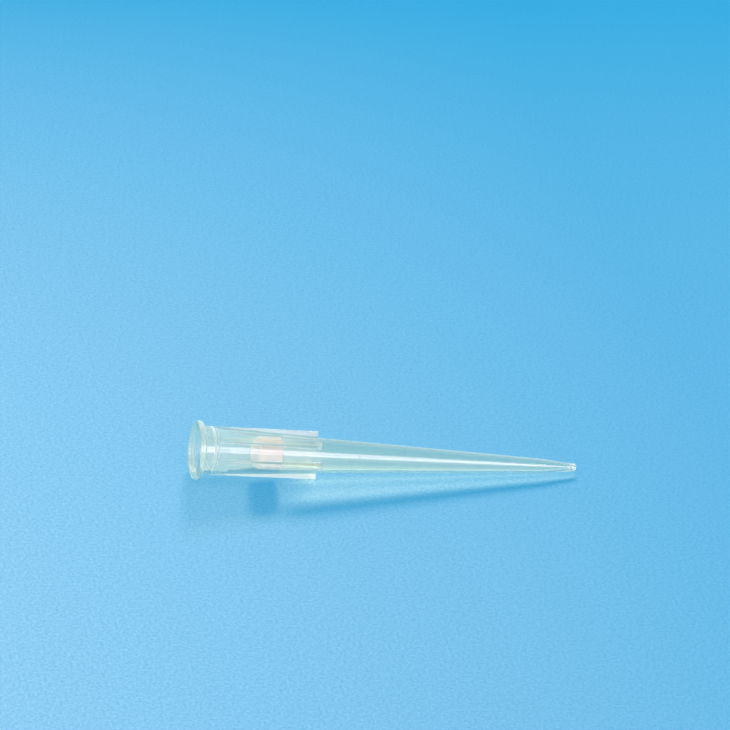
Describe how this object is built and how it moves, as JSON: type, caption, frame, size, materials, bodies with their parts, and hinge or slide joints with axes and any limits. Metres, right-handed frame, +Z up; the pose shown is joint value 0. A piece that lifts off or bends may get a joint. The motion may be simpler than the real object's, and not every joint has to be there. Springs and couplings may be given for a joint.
{
  "type": "filter pipette tip",
  "caption": "Clear ribbed laboratory pipette tip with a rimmed mouth, a tapering body ending in a fine point, and a white porous filter plug pressed into its bore.",
  "frame": {"origin": "middle of the tip's bounding box, on the surface that it lies on", "axes": "+X runs along the lying tip from the mouth to the point, whose axis dips towards the point by about 3.5 degrees; +Z is up; +Y is across the tip"},
  "size_m": [0.051, 0.0076, 0.0075],
  "materials": {
    "clear_polypropylene": "gloss",
    "sintered_polyethylene": "matte"
  },
  "bodies": {
    "root": {"tip_body": "clear_polypropylene", "filter_plug": "sintered_polyethylene"}
  },
  "joints": []
}
